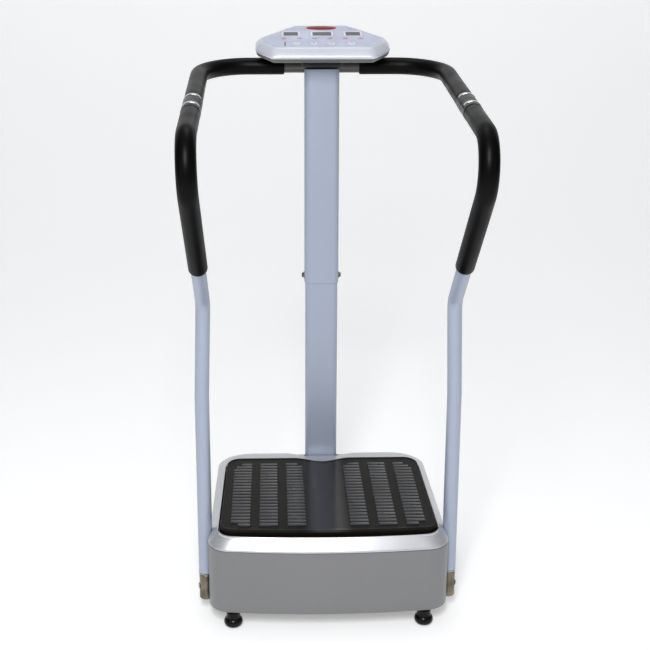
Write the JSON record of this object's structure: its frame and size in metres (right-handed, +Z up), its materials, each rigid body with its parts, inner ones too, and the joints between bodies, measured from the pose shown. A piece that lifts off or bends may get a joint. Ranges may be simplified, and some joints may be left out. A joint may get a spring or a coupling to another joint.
{
  "type": "vibration plate",
  "caption": "Rocking standing platform in a low housing with a column, a control console and curved handrails that run back down beside the housing.",
  "frame": {"origin": "floor, under the middle of the whole machine", "axes": "+Z up; -Y towards the open side where the user steps on, +Y towards the column; +X to the user's right"},
  "size_m": [0.619, 0.7956, 1.2888],
  "materials": {
    "housing_grey": "satin",
    "cover_silver": "semi-gloss silver",
    "steel_dark": "black paint",
    "mat_rubber": "matt",
    "deck_plastic": "satin",
    "machined_steel": "turned",
    "cast_grey": "as cast",
    "pulley_aluminium": "turned",
    "belt_rubber": "matt",
    "motor_black": "black paint",
    "copper_core": "varnished windings",
    "zinc_plate": "zinc plated",
    "transformer_steel": "varnished",
    "board_green": "lacquered",
    "inlet_black": "fine grain",
    "switch_red": "gloss",
    "post_silver": "metallic blue-grey",
    "rail_silver": "metallic blue-grey",
    "bar_grey": "metallic grey",
    "foam_black": "closed-cell foam",
    "collar_black": "satin",
    "contact_chrome": "polished",
    "socket_zinc": "yellowish zinc plate",
    "console_grey": "satin",
    "console_silver": "semi-gloss silver",
    "overlay_film": "printed film",
    "window_dark": "tinted window",
    "lamp_red": "tinted lens",
    "badge_red": "plain raised oval",
    "key_white": "satin",
    "foot_rubber": "semi-gloss",
    "wheel_rubber": "matt",
    "bolt_steel": "blackened",
    "plate_grey": "grey paint"
  },
  "bodies": {
    "machine": {"lower_housing": "housing_grey", "top_cover": "cover_silver", "bottom_plate": "plate_grey", "base_frame": "steel_dark", "pivot_bearings": "cast_grey", "shaft_bearings": "cast_grey", "drive_belt": "belt_rubber", "motor_housing": "motor_black", "motor_bracket": "zinc_plate", "bump_stops": "wheel_rubber", "transformer": "transformer_steel", "control_board": "board_green", "power_inlet": "inlet_black", "lower_post": "post_silver", "upper_post": "post_silver", "post_bolt": "bolt_steel", "crossbar": "bar_grey", "left_handrail": "rail_silver", "right_handrail": "rail_silver", "left_rear_grip": "foam_black", "right_rear_grip": "foam_black", "left_front_grip": "foam_black", "right_front_grip": "foam_black", "left_sensor_collar": "collar_black", "right_sensor_collar": "collar_black", "pulse_contacts": "contact_chrome", "rail_sockets": "socket_zinc", "rail_bolts": "machined_steel", "console_bracket": "steel_dark", "console_lower_shell": "console_grey", "console_upper_shell": "console_silver", "console_overlay": "overlay_film", "display_windows": "window_dark", "indicator_lamps": "lamp_red", "console_badge": "badge_red", "console_board": "board_green", "foot_studs": "machined_steel", "wheel_axles": "machined_steel"},
    "platform": {"rubber_mat": "mat_rubber", "platform_deck": "deck_plastic", "platform_frame": "steel_dark", "pivot_shaft": "machined_steel", "rod_pins": "machined_steel"},
    "crankshaft": {"eccentric_shaft": "machined_steel", "driven_pulley": "pulley_aluminium"},
    "left_rod": {"left_connecting_rod": "pulley_aluminium"},
    "right_rod": {"right_connecting_rod": "pulley_aluminium"},
    "rotor": {"motor_rotor": "copper_core", "motor_pulley": "pulley_aluminium"},
    "rocker_switch": {"power_switch": "switch_red"},
    "key_1": {"key_1": "key_white"},
    "key_2": {"key_2": "key_white"},
    "key_3": {"key_3": "key_white"},
    "key_4": {"key_4": "key_white"},
    "front_left_foot": {"front_left_foot": "foot_rubber"},
    "front_right_foot": {"front_right_foot": "foot_rubber"},
    "rear_left_foot": {"rear_left_foot": "foot_rubber"},
    "rear_right_foot": {"rear_right_foot": "foot_rubber"},
    "left_wheel": {"left_wheel": "wheel_rubber"},
    "right_wheel": {"right_wheel": "wheel_rubber"}
  },
  "joints": [
    {"name": "platform_rock", "type": "hinge", "parent": "machine", "child": "platform", "pos_m": [0, 0.01856, 0.172], "axis": [0, 1, 0], "range_deg": [-1.35, 1.35]},
    {"name": "crank_spin", "type": "hinge", "parent": "machine", "child": "crankshaft", "pos_m": [0, 0.01856, 0.1], "axis": [1, 0, 0], "continuous": true},
    {"name": "left_rod_swing", "type": "hinge", "parent": "crankshaft", "child": "left_rod", "pos_m": [-0.17, 0.02256, 0.1], "axis": [1, 0, 0], "continuous": true},
    {"name": "right_rod_swing", "type": "hinge", "parent": "crankshaft", "child": "right_rod", "pos_m": [0.17, 0.01456, 0.1], "axis": [1, 0, 0], "continuous": true},
    {"name": "motor_spin", "type": "hinge", "parent": "machine", "child": "rotor", "pos_m": [-0.06, 0.13056, 0.112], "axis": [1, 0, 0], "continuous": true},
    {"name": "switch_rock", "type": "hinge", "parent": "machine", "child": "rocker_switch", "pos_m": [0.1695, 0.27856, 0.11], "axis": [1, 0, 0], "range_deg": [-18, 0]},
    {"name": "key_1_press", "type": "slide", "parent": "machine", "child": "key_1", "axis": [0, 0.2588, -0.9659], "range_m": [0, 0.0008], "stiffness_N_per_m": 800, "springref_m": -0.0002},
    {"name": "key_2_press", "type": "slide", "parent": "machine", "child": "key_2", "axis": [0, 0.2588, -0.9659], "range_m": [0, 0.0008], "stiffness_N_per_m": 800, "springref_m": -0.0002},
    {"name": "key_3_press", "type": "slide", "parent": "machine", "child": "key_3", "axis": [0, 0.2588, -0.9659], "range_m": [0, 0.0008], "stiffness_N_per_m": 800, "springref_m": -0.0002},
    {"name": "key_4_press", "type": "slide", "parent": "machine", "child": "key_4", "axis": [0, 0.2588, -0.9659], "range_m": [0, 0.0008], "stiffness_N_per_m": 800, "springref_m": -0.0002},
    {"name": "front_left_foot_turn", "type": "hinge", "parent": "machine", "child": "front_left_foot", "pos_m": [-0.215, -0.19344, 0], "axis": [0, 0, 1], "continuous": true},
    {"name": "front_right_foot_turn", "type": "hinge", "parent": "machine", "child": "front_right_foot", "pos_m": [0.215, -0.19344, 0], "axis": [0, 0, 1], "continuous": true},
    {"name": "rear_left_foot_turn", "type": "hinge", "parent": "machine", "child": "rear_left_foot", "pos_m": [-0.215, 0.22356, 0], "axis": [0, 0, 1], "continuous": true},
    {"name": "rear_right_foot_turn", "type": "hinge", "parent": "machine", "child": "rear_right_foot", "pos_m": [0.215, 0.22356, 0], "axis": [0, 0, 1], "continuous": true},
    {"name": "left_wheel_roll", "type": "hinge", "parent": "machine", "child": "left_wheel", "pos_m": [-0.165, 0.27456, 0.034], "axis": [1, 0, 0], "continuous": true},
    {"name": "right_wheel_roll", "type": "hinge", "parent": "machine", "child": "right_wheel", "pos_m": [0.165, 0.27456, 0.034], "axis": [1, 0, 0], "continuous": true}
  ],
  "couplings": [
    {"joint": "left_rod_swing", "follows": "crank_spin", "ratio": -1},
    {"joint": "right_rod_swing", "follows": "crank_spin", "ratio": -1},
    {"joint": "motor_spin", "follows": "crank_spin", "ratio": 2.5}
  ]
}
